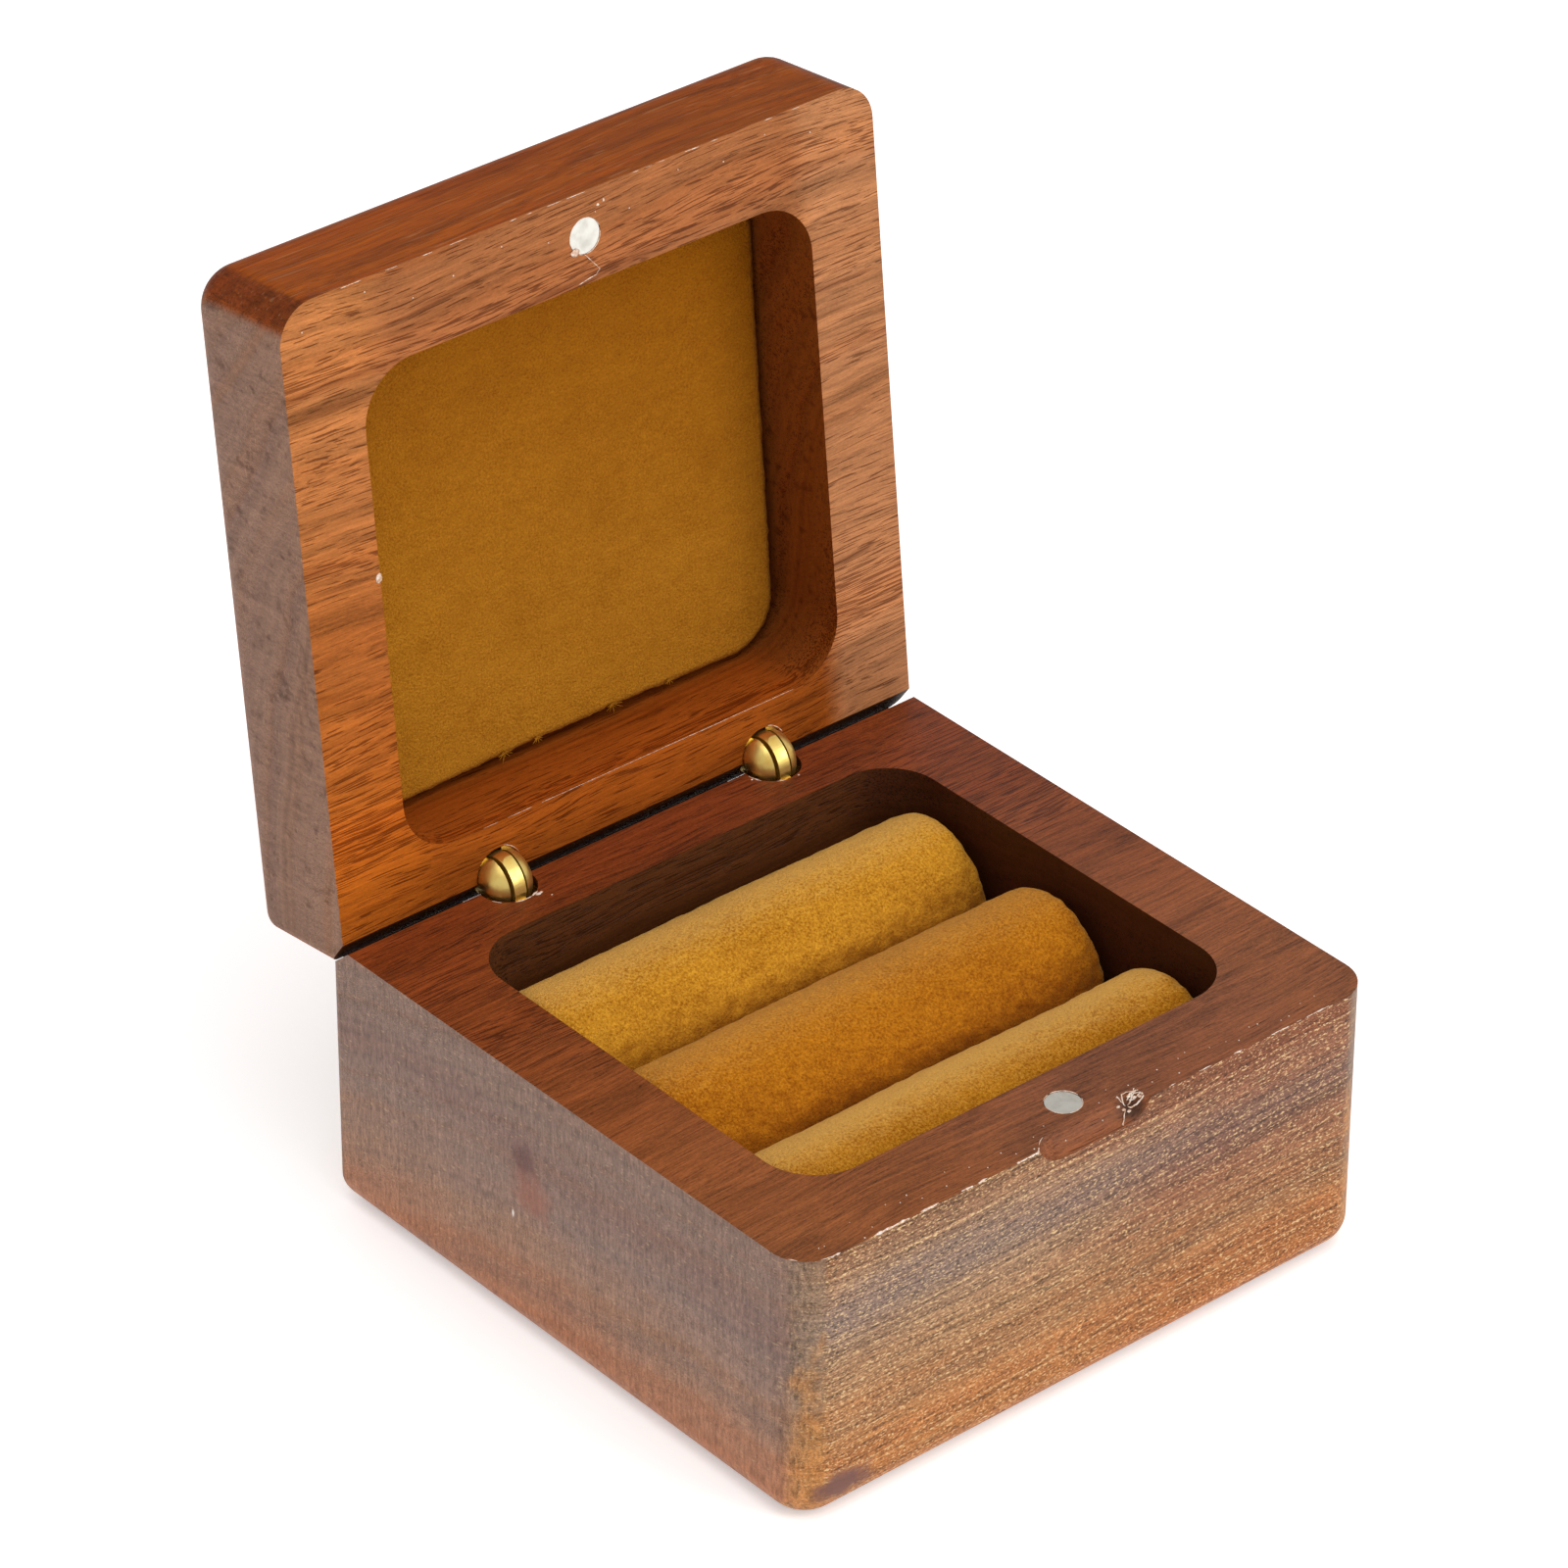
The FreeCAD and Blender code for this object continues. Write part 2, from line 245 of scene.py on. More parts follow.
def wood_figure(s, place, streak):
    """What follows the fibres: wander, growth rings, fibre, saw ticks, pores and clouds."""
    x, y, z = s.split(place)
    # fibres wander slowly as they run along X
    wander = s.calc("SUBTRACT", s.grain(place, (0.018, 0.05, 0.05), 2.0), 0.5)
    fine_wander = s.calc("SUBTRACT", s.grain(place, (0.05, 0.2, 0.2), 2.0), 0.5)
    y_w = s.linear(wander, 7.0, s.linear(fine_wander, 1.2, y))
    z_w = s.linear(wander, -5.0, s.linear(fine_wander, 1.0, z))
    off_y, off_z = (s.calc("ADD", v, c) for v, c in zip((y_w, z_w), streak["centre"]))
    rings = s.calc("SQRT", s.linear(off_y, off_y, s.times(off_z, off_z)))
    along = s.join(x, y_w, z_w)
    broad = s.line_noise(rings, 0.23, 1.0)
    crowd = s.sway(broad, 0.4, -0.5)
    pores = s.calc("ADD", s.grain(along, (0.24, 7.0, 7.0), 1.0, 0.5), crowd)
    row = s.line_noise(z_w, 3.2, 1.0)
    return SimpleNamespace(
        wander=wander, fine_wander=fine_wander, rings=rings, along=along, broad=broad,
        narrow=s.line_noise(rings, 1.1, 3.0, 0.65),
        fibre=s.grain(along, (0.06, 3.0, 3.0), 3.0, 0.68),
        silk=s.grain(along, (0.3, 9.0, 9.0), 1.0, 0.6),
        tick=s.sway(row, 0.35, s.grain(along, (3.3, 7.6, 7.6), 1.0, 0.6, 0.4)),
        pore=s.fit(pores, *streak["pores"]),
        cloud=s.fit(s.grain(along, (0.05, 0.9, 0.9), 2.0), 0.54, 0.76),
    )


def wood_zones(s, place, shut, figure, streak):
    """Where a point lies: on which kinds of face, and how high between foot and top."""
    x, y, z = s.split(place)
    nx, ny, nz = s.split(s.object_normal(shut))
    mouthward = s.times(nz, -1.0 if shut else 1.0)
    outer_x = s.fit(s.calc("ABSOLUTE", x), *END_FACES)
    outer_y = s.fit(s.calc("ABSOLUTE", y), *LONG_FACES)
    steep = s.calc("ABSOLUTE", nx)
    side = s.times(s.fit(s.calc("ABSOLUTE", ny), 0.35, 0.75), outer_y)
    side = s.times(side, s.fit(mouthward, 0.08, 0.22, 1.0, 0.0))
    corner = s.times(s.fit(steep, 0.12, 0.35), s.fit(steep, 0.98, 0.8))
    corner = s.times(s.times(corner, outer_x), s.fit(y, *FRONT_CORNERS))
    corner = s.times(corner, streak["corner"])
    ticked = s.times(side, streak["fleck"][0])
    level = s.linear(figure.wander, 7.0, s.linear(figure.fine_wander, 3.0, z))
    bevel = s.times(s.fit(y, *BACK_BEVEL), s.fit(mouthward, 0.3, 0.5))
    return SimpleNamespace(
        x=x, y=y, side=side, corner=corner,
        end=s.times(s.fit(steep, *streak["end_cut"]), outer_x),
        ticked=s.times(ticked, s.linear(corner, -1.0, 1.0)),
        mouth=s.fit(mouthward, 0.6, 0.9),
        bevel=s.times(bevel, s.fit(mouthward, 0.98, 0.9)),
        upright=s.fit(s.calc("ABSOLUTE", nz), 0.08, 0.25, 1.0, 0.0),
        height=s.fit(level, *streak["height"], smooth=False),
    )


def wood_tint(s, place, figure, zone, tint):
    """The wood's colour by region, before its figure."""
    backward = s.fit(s.linear(figure.wander, 14.0, zone.y), 24.0, -24.0)
    colour = s.blend(backward, *tint["rim"])
    for key in ("left", "right"):
        start, stop, tinge, mode = tint[key]
        share = s.times(s.fit(zone.x, start, stop), zone.mouth)
        colour = s.blend(share, colour, tinge, mode)
    # pocket walls take darker tones and the right wall the darkest: the wood's colour with painted
    # shade of the recess
    walls = s.blend(s.fit(zone.x, *RIGHT_WALL), *tint["wall"])
    colour = s.blend(zone.upright, colour, walls)
    eastward = s.linear(figure.fine_wander, 30.0, zone.x)
    eastern = s.blend(s.fit(zone.height, 0.3, 0.62), *tint["side_right"])
    faces = s.ramp(zone.height, tint["side"])
    faces = s.blend(s.fit(eastward, *RIGHT_SIDE), faces, eastern, "MULTIPLY")
    colour = s.blend(zone.side, colour, faces)
    # end grain takes its own ramp; its grey cast is partly a painted reflection of the pale
    # surroundings
    colour = s.blend(zone.end, colour, s.ramp(zone.height, tint["end"]))
    blotch = s.linear(s.grain(place, (0.5, 0.5, 0.4), 2.0), 1.2, -0.6)
    blotch = s.fit(s.calc("ADD", zone.height, blotch), 0.3, 0.7)
    return s.blend(zone.corner, colour, s.blend(blotch, *tint["corner"]))


def wood_swing(s, place, figure, zone, streak):
    """How much the figure and the saw marks lighten or darken the wood, about 1."""
    swing = 1.0
    for key in ("broad", "narrow", "fibre", "silk"):
        swing = s.sway(getattr(figure, key), streak[key], swing)
    # end grain shows less of the figure and more of the upright saw streaks
    plain = s.calc("MAXIMUM", zone.end, s.calc("SUBTRACT", zone.upright, zone.side))
    keep = s.linear(plain, -0.45, 1.0)
    swing = s.linear(s.calc("SUBTRACT", swing, 1.0), keep, 1.0)
    column = s.grain(place, (1.3, 1.3, 0.05), 2.0, 0.6)
    swing = s.sway(column, s.times(zone.end, 0.6), swing)
    upward = s.grain(place, (3.4, 3.4, 0.9), 1.0, 0.6)
    rim_share = s.linear(s.calc("MAXIMUM", zone.side, zone.end), -1.0, 1.0)
    rim_share = s.times(rim_share, streak["rim"])
    for field, share in (
        (figure.tick, s.calc("ADD", zone.ticked, rim_share)),
        (upward, s.times(zone.end, streak["fleck"][1])),
        (upward, s.times(zone.corner, 1.3)),
    ):
        swing = s.sway(field, share, swing)
    return s.calc("MAXIMUM", swing, 0.25)


def pale_marks(s, place, figure, zone, streak):
    """Pale saw ticks and long pale fibres on the sides, and pale dots on the end grain."""
    light = s.times(s.fit(figure.tick, 0.6, 0.72), zone.ticked)
    hair = s.fit(s.grain(figure.along, (0.1, 3.0, 3.8), 1.0), 0.64, 0.72)
    light = s.calc("MAXIMUM", light, s.times(hair, s.times(zone.side, 0.38)))
    dots = s.fit(s.grain(place, (4.0, 1.6, 4.6), 0.0), 0.7, 0.78)
    light = s.calc("MAXIMUM", light, s.times(dots, s.times(zone.end, 0.5)))
    return s.times(light, streak["pale"])


def wood_streaks(s, colour, figure, zone, streak):
    """Warm and cool rings, soft dark clouds, and pores, which are fewer on the outer faces."""
    warm = s.times(s.fit(s.line_noise(figure.rings, 0.41, 2.0), 0.45, 0.75), 0.4)
    colour = s.blend(warm, colour, WARM, "MULTIPLY")
    cool = s.fit(s.line_noise(figure.rings, 0.33, 2.0), 0.52, 0.78)
    colour = s.blend(s.times(cool, streak["cool"]), colour, COOL, "MULTIPLY")
    dark = s.blend(1.0, colour, DARKEN, "MULTIPLY")
    calm = s.linear(s.calc("MAXIMUM", zone.side, zone.end), -0.7, 1.0)
    colour = s.blend(s.times(figure.cloud, streak["cloud"]), colour, dark)
    pore_share = s.times(figure.pore, s.times(calm, streak["pore_share"]))
    return s.blend(pore_share, colour, dark)


def walnut(name, shut, tint, streak):
    """Oiled walnut whose fibres run along X.

    tint holds colours: the mouth face's back and front (rim), what is laid over its left and
    right (start, stop, colour, mode), the pocket's walls and its right wall, darker with painted
    shade, the front and back sides from foot to top, what multiplies their right half (foot, top),
    the end grain from foot to top, greyish partly with a painted reflection of the pale
    surroundings, and the front corners' foot and top.  streak holds where the growth rings are
    centred, the heights of foot and top, and how strong each kind of figure is.
    """
    s = Shader(name)
    place = s.object_mm(shut)
    figure = wood_figure(s, place, streak)
    zone = wood_zones(s, place, shut, figure, streak)
    swing = wood_swing(s, place, figure, zone, streak)
    light = pale_marks(s, place, figure, zone, streak)
    colour = s.shade(wood_tint(s, place, figure, zone, tint), swing)
    colour = wood_streaks(s, colour, figure, zone, streak)
    colour = s.blend(light, colour, FLECK)
    for centre, size, tinge, share in streak["spots"]:
        colour = s.blend(s.times(s.spot(place, centre, size), share), colour, tinge)
    # the bevels at the hinge side are tinted near black: painted shade of the groove between the
    # halves
    colour = s.blend(s.times(zone.bevel, 0.85), colour, BEVEL_SHADE)

    s.set(
        Base_Color=colour,
        Roughness=s.linear(figure.fibre, 0.2, 0.36),
        Specular_IOR_Level=streak["gloss"],
        Coat_Weight=streak["gloss"] / 8,
        Coat_Roughness=0.25,
    )
    relief = s.linear(figure.pore, -0.8, s.times(figure.fibre, 0.4))
    relief = s.linear(light, 0.4, relief)
    s.set(Normal=s.bump(relief, 0.06, 0.7))
    return s.material


base_walnut = walnut(
    "walnut_base",
    False,
    tint={
        "rim": (tone(116, 54, 24), tone(133, 77, 46)),
        "left": (4.0, -18.0, (1.12, 1.1, 0.86, 1), "MULTIPLY"),
        "right": (20.5, 23.5, (1.08, 1.08, 1.0, 1), "MULTIPLY"),
        # wall tones are partly painted shade of the pocket
        "wall": (tone(86, 48, 23), tone(72, 36, 17)),
        "side": [
            (0.0, tone(174, 110, 56)),
            (0.2, tone(172, 115, 66)),
            (0.42, tone(160, 117, 79)),
            (0.62, tone(154, 117, 87)),
            (0.74, tone(136, 111, 97)),
            (0.79, tone(141, 115, 100)),
            (0.87, tone(154, 117, 89)),
            (1.0, tone(142, 96, 62)),
        ],
        "side_right": ((0.93, 0.81, 0.69, 1), (0.8, 0.58, 0.52, 1)),
        # end grain; its grey cast is partly a painted reflection of the pale surroundings
        "end": [
            (0.0, tone(172, 112, 78)),
            (0.3, tone(153, 116, 94)),
            (0.55, tone(138, 111, 98)),
            (0.72, tone(130, 101, 90)),
            (0.85, tone(134, 107, 94)),
            (1.0, tone(135, 106, 92)),
        ],
        "corner": (tone(180, 124, 68), tone(134, 110, 90)),
    },
    streak={
        "centre": (24.0, 120.0), "height": (1.0, 24.5), "end_cut": (0.5, 0.85),
        "pores": (0.09, 0.16), "pore_share": 0.8, "cloud": 0.3,
        "broad": 0.45, "narrow": 0.6, "fibre": 1.3, "silk": 1.1, "cool": 0.5,
        "fleck": (2.7, 1.0), "rim": 0.85, "pale": 0.5, "gloss": 0.16, "corner": 0.7,
        # centre, half size, colour, share
        "spots": [
            # purple patch low on the front's left corner
            ((-25.6, -29, 2.8), (3.8, 1.5, 1.7), tone(118, 80, 70), 1.0),
            # halo, knot and white nick on the left side
            ((-30, 3.5, 14.2), (2.6, 3.0, 3.0), tone(150, 88, 68), 0.55),
            ((-30, 4.4, 17.3), (2.4, 2.0, 1.9), tone(96, 60, 58), 0.65),
            ((-30, 5.9, 11.1), (1.0, 0.2, 0.5), tone(232, 222, 214), 1.0),
            # dark wood under the glue in the thumb notch
            ((4.3, -28.2, 24.2), (1.7, 1.2, 1.2), tone(48, 30, 18), 0.8),
        ],
    },
)
lid_walnut = walnut(
    "walnut_lid",
    True,
    tint={
        "rim": (tone(157, 80, 22), tone(161, 99, 57)),
        "left": (-19.0, -23.0, (1.3, 1.34, 1.2, 1), "MULTIPLY"),
        "right": (20.5, 23.5, tone(179, 119, 76), "MIX"),
        # wall tones are partly painted shade of the pocket
        "wall": (tone(152, 75, 21), tone(130, 68, 24)),
        "side": [(0.0, tone(146, 70, 6)), (1.0, tone(138, 64, 5))],
        "side_right": ((0.9, 0.92, 0.98, 1), (0.9, 0.92, 0.98, 1)),
        # end grain; its grey cast is partly a painted reflection of the pale surroundings
        "end": [(0.0, tone(142, 107, 88)), (1.0, tone(140, 108, 92))],
        "corner": (tone(96, 44, 22), tone(102, 47, 25)),
    },
    streak={
        "centre": (-30.0, 40.0), "height": (25.2, 37.2), "end_cut": (0.86, 0.97),
        "pores": (0.09, 0.165), "pore_share": 0.85, "cloud": 0.6,
        "broad": 1.0, "narrow": 0.75, "fibre": 1.0, "silk": 0.7, "cool": 0.5,
        "fleck": (0.0, 0.5), "rim": 0.5, "pale": 0.25, "gloss": 0.05, "corner": 0.7,
        "spots": [],
    },
)


# ---- metal ------------------------------------------------------------------
def metal(name, colour, dull, roughness, scratch, grime):
    s = Shader(name)
    place = s.object_mm()
    cloud = s.grain(place, (0.9, 0.9, 0.9), 3.0)
    lines = s.grain(place, (0.6, 9.0, 3.0), 2.0, 0.6)
    shade = s.blend(s.fit(cloud, 0.35, 0.75), colour, dull)
    s.set(
        Base_Color=shade,
        Metallic=1.0,
        Roughness=s.linear(s.fit(cloud, 0.3, 0.8), grime, roughness),
        Normal=s.bump(lines, scratch, 0.5),
    )
    return s.material


brass = metal("brass", tone(255, 226, 134), tone(242, 200, 104), 0.31, 0.02, 0.12)
nickel = metal("nickel", tone(222, 219, 210), tone(204, 200, 190), 0.36, 0.01, 0.12)


# ---- cloth, foam and card ---------------------------------------------------
def lining_drift(s, place, colour, drift):
    """Tints the lid's cloth darker and more orange towards its front and right, and paler towards
    its hinge side and left.
    """
    x, y, _ = s.split(place)
    along = s.fit(s.linear(x, -0.3, y), -19.0, 18.0, smooth=False)
    return s.blend(1.0, colour, s.blend(along, *drift), "MULTIPLY")


def roll_nap(s, place, colour, tuft, clump, crest, crest_sheen_share):
    """Colour of the rolls: paler on the outer ones' far slopes, partly the nap's look and partly
    painted sheen, and darker brown low between the rolls, painted shade in the creases.
    """
    _, y, _ = s.split(place)
    _, ny, nz = s.split(s.object_normal())
    outer_rolls = s.fit(s.calc("ABSOLUTE", s.calc("ADD", y, 0.6)), 6.2, 7.6, 0.3, 1.0)
    middle = s.calc("SUBTRACT", 1.0, outer_rolls)
    for share, tinge in (
        (middle, (1.0, 0.82, 0.6, 1)),
        (s.fit(y, 6.0, 7.4), (1.17, 1.26, 1.65, 1)),
        (s.fit(y, -7.0, -8.4), (1.0, 0.94, 0.84, 1)),
        # painted shade on the middle roll's front-facing slope
        (s.times(middle, s.fit(ny, 0.1, -0.7)), (0.93, 0.87, 0.66, 1)),
    ):
        colour = s.blend(share, colour, tinge, "MULTIPLY")
    # paler crest on the outer rolls' up- and back-facing slopes: painted sheen
    lean = s.linear(ny, 0.8, s.times(nz, 0.55))
    lean = s.sway(tuft, 0.8, lean)
    share = s.times(s.fit(lean, 0.1, 0.95), outer_rolls)
    colour = s.blend(s.times(share, crest_sheen_share), colour, crest)
    # painted shade low on the front-facing slopes, in the creases between the rolls
    low = s.sway(clump, 0.5, nz)
    under = s.times(s.fit(low, 0.82, 0.1), s.fit(ny, 0.0, -0.6))
    under = s.times(under, s.linear(tuft, 1.6, 0.1))
    return s.blend(under, colour, (0.52, 0.4, 0.27, 1), "MULTIPLY")


def velvet(name, shut, deep, pale, crest, look):
    """Short-pile velvet: mottled tufts, brushed patches and a soft sheen.

    Cloth on the rolls has a paler crest colour painted as sheen and a darker brown painted as shade
    in the creases; the lid's lining has a drift of tint instead.
    """
    s = Shader(name)
    place = s.object_mm(shut)
    tuft = s.grain(place, (look["pile"],) * 3, 2.0, 0.7)
    clump = s.grain(place, (0.9, 1.3, 1.1), 3.0, 0.6)
    brushed = s.grain(place, (0.12, 0.2, 0.2), 2.0, 0.5, 0.6)
    mix = 0.5
    for field, key in ((tuft, "mottling"), (clump, "clumping"), (brushed, "brushing")):
        mix = s.sway(field, look[key], mix)
    colour = s.ramp(s.calc("MAXIMUM", mix, 0.0), [(0.0, deep), (1.0, pale)])
    if crest:
        colour = roll_nap(s, place, colour, tuft, clump, crest, look["crest"])
    else:
        colour = lining_drift(s, place, colour, look["drift"])
    s.set(
        Base_Color=colour,
        Roughness=0.95,
        Specular_IOR_Level=0.1,
        Sheen_Weight=look["sheen"],
        Sheen_Roughness=0.4,
        Sheen_Tint=tone(255, 212, 130),
    )
    under = s.bump(clump, 0.12, 0.5)
    s.set(Normal=s.bump(tuft, 0.2, 0.9, under))
    return s.material


roll_velvet = velvet(
    "velvet_gold",
    False,
    tone(144, 82, 4),
    tone(214, 148, 36),
    # crest: paler colour painted on the outer rolls' far slopes as sheen
    tone(230, 184, 100),
    {"pile": 4.6, "mottling": 2.1, "clumping": 0.6, "brushing": 0.5, "crest": 0.6, "sheen": 0.3},
)
lining_velvet = velvet(
    "velvet_mustard",
    True,
    tone(136, 80, 4),
    tone(190, 130, 30),
    None,
    {
        "pile": 4.8, "mottling": 1.7, "clumping": 0.5, "brushing": 0.4, "sheen": 0.06,
        "drift": ((0.84, 0.68, 0.3, 1), (1.16, 1.16, 1.45, 1)),
    },
)


def fibrous(name, low, high, scale, depth):
    """Foam or card: a cloudy colour over a fine cell or fibre relief."""
    s = Shader(name)
    place = s.object_mm()
    cells = s.grain(place, scale, 3.0, 0.7)
    s.set(
        Base_Color=s.ramp(cells, [(0.3, low), (0.7, high)]),
        Roughness=0.9,
        Normal=s.bump(cells, depth, 0.7),
    )
    return s.material


foam = fibrous("foam", tone(176, 152, 92), tone(206, 184, 124), (2.4, 2.4, 2.4), 0.2)
card = fibrous("card", tone(66, 48, 34), tone(96, 72, 50), (1.2, 3.0, 2.0), 0.05)


def varnish_blob():
    """Dried clear varnish or glue, cloudy white where it is thick."""
    s = Shader("dried_varnish")
    place = s.object_mm()
    cloud = s.grain(place, (3.0, 3.0, 3.0), 2.0)
    s.set(
        Base_Color=s.ramp(cloud, [(0.35, tone(205, 160, 128)), (0.7, tone(248, 238, 226))]),
        Roughness=s.fit(cloud, 0.3, 0.7, 0.12, 0.35),
        Coat_Weight=0.8,
        Coat_Roughness=0.08,
        Subsurface_Weight=0.25,
        Subsurface_Radius=(0.4 * MM, 0.3 * MM, 0.2 * MM),
    )
    s.set(Normal=s.bump(cloud, 0.05, 0.4))
    return s.material


dried_varnish = varnish_blob()
# near-black material for the strip in the hinge groove, which stands in for shadow
groove_shadow_fill = fibrous("groove_shadow_fill", tone(16, 9, 6), tone(30, 18, 11), (2.0, 3.0, 3.0), 0.02)

FINISH = {
    "base_block": base_walnut,
    "lid_block": lid_walnut,
    "magnet": nickel,
    "hinge": brass,
    "card": card,
    "core": foam,
    "foam": foam,
}
for node_name, node in frame["nodes"].items():
    for key, material in FINISH.items():
        if key in node_name:
            node.data.materials.clear()
            node.data.materials.append(material)
            break


# ---- mesh helpers -----------------------------------------------------------
def piece(name, mesh, material, body):
    mesh.materials.clear()
    mesh.materials.append(material)
    made = bpy.data.objects.new(name, mesh)
    bpy.context.scene.collection.objects.link(made)
    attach(made, body)
    return made


def smooth(mesh):
    mesh.polygons.foreach_set("use_smooth", [True] * len(mesh.polygons))
    mesh.update()


def mesh_from(name, points, faces):
    mesh = bpy.data.meshes.new(name)
    mesh.from_pydata([tuple(p) for p in points], [], faces)
    mesh.update()
    return mesh


def ripple(point, size, seed=0.0):
    """Smooth noise from -1 to 1 whose bumps are about size metres across."""
    return noise.noise(Vector(point) / size + Vector((seed, 7.3 * seed, 0)))


def jitter(*seed):
    """Repeatable noise from -1 to 1 for three numbers."""
    return noise.noise(Vector(seed))


def limits(points):
    """The lowest and highest corner of a list of points."""
    return (Vector([pick(p[i] for p in points) for i in range(3)]) for pick in (min, max))


def skin(rings, count):
    """Faces of a closed tube whose points come ring by ring, count to a ring."""
    faces = []
    for i in range(rings - 1):
        for k in range(count):
            n = (k + 1) % count
            faces.append((i * count + k, i * count + n, (i + 1) * count + n, (i + 1) * count + k))
    faces.append(tuple(reversed(range(count))))
    faces.append(tuple(range((rings - 1) * count, rings * count)))
    return faces


def tube(points, radii, sides=8):
    """Points and faces of a closed tube along points."""
    verts = []
    for i, (p, r) in enumerate(zip(points, radii)):
        ahead = Vector(points[min(i + 1, len(points) - 1)]) - Vector(points[max(i - 1, 0)])
        across = ahead.orthogonal().normalized() if i == 0 else across
        across = (across - across.project(ahead)).normalized()
        other = ahead.cross(across).normalized()
        for k in range(sides):
            a = 2 * math.pi * k / sides
            verts.append(Vector(p) + (across * math.cos(a) + other * math.sin(a)) * r)
    return verts, skin(len(points), sides)


def merged(parts):
    """One point list and one face list from several."""
    points, faces = [], []
    for part_points, part_faces in parts:
        start = len(points)
        points += part_points
        faces += [tuple(start + i for i in f) for f in part_faces]
    return points, faces


def drop(centre, size, seed, rings=5, sides=10):
    """A small lumpy drop: points and faces; size is its half extent on each axis."""
    points, faces = [Vector((0, 0, -1))], []
    for i in range(1, rings):
        a = math.pi * i / rings - math.pi / 2
        out = math.cos(a)
        for k in range(sides):
            b = 2 * math.pi * k / sides
            points.append(Vector((out * math.cos(b), out * math.sin(b), math.sin(a))))
    points.append(Vector((0, 0, 1)))
    for k in range(sides):
        n = (k + 1) % sides
        faces.append((0, 1 + n, 1 + k))
        for i in range(rings - 2):
            a, b = 1 + i * sides, 1 + (i + 1) * sides
            faces.append((a + k, a + n, b + n, b + k))
        last = 1 + (rings - 2) * sides
        faces.append((last + k, last + n, len(points) - 1))
    placed = []
    for p in points:
        swell = 1 + 0.35 * noise.noise(p * 1.3 + Vector((seed, 0, seed)))
        reach = Vector([p[i] * size[i] for i in range(3)])
        placed.append(Vector(centre) + reach * swell)
    return placed, faces


# ---- ring rolls: cloth simulated at twenty times size -----------------------
SIM_SCALE = 20.0
SIM_FRAMES = 20
ROLL_SHRINK = 0.55 * MM
ROLL_VOXEL = 0.62 * MM
ROLL_CAP = 0.55 * MM
ROLL_OVER_CORE = 0.32 * MM


def roll_blank(lo, hi):
    """Closed bolster with an arched top and rounded ends, a little inside the box lo to hi."""
    half = (hi.y - lo.y) / 2 - ROLL_SHRINK
    mid = (hi.y + lo.y) / 2
    floor = lo.z
    shoulder = hi.z - ROLL_SHRINK - half
    outline = []
    arch_steps, wall_steps, foot_steps = 24, 7, 12
    for k in range(arch_steps + 1):
        a = math.pi * k / arch_steps
        outline.append((half * math.cos(a), shoulder + half * math.sin(a)))
    foot = 0.8 * MM
    wall = shoulder - floor - foot
    for k in range(wall_steps):
        outline.append((-half, shoulder - wall * (k + 1) / wall_steps))
    for k in range(foot_steps + 1):
        outline.append(((-half + foot) * (1 - 2 * k / foot_steps), floor))
    for k in range(wall_steps):
        outline.append((half, floor + foot + wall * k / wall_steps))
    length = hi.x - lo.x - 2 * ROLL_SHRINK
    start = lo.x + ROLL_SHRINK
    end_round = 1.1 * MM
    points, steps = [], 60
    for i in range(steps + 1):
        t = i / steps
        x = start + length * t
        inside = min(x - start, start + length - x)
        pull = 1.0
        if inside < end_round:
            lean = 1 - inside / end_round
            pull = 1 - (1 - math.sqrt(max(0.0, 1 - lean * lean))) * end_round / half * 0.9
        for y, z in outline:
            points.append((x, mid + y * pull, floor + (z - floor) * (1 - (1 - pull) * 0.62)))
    return mesh_from("roll_blank", points, skin(steps + 1, len(outline)))


def evaluated_mesh(obj):
    graph = bpy.context.evaluated_depsgraph_get()
    return bpy.data.meshes.new_from_object(obj.evaluated_get(graph))


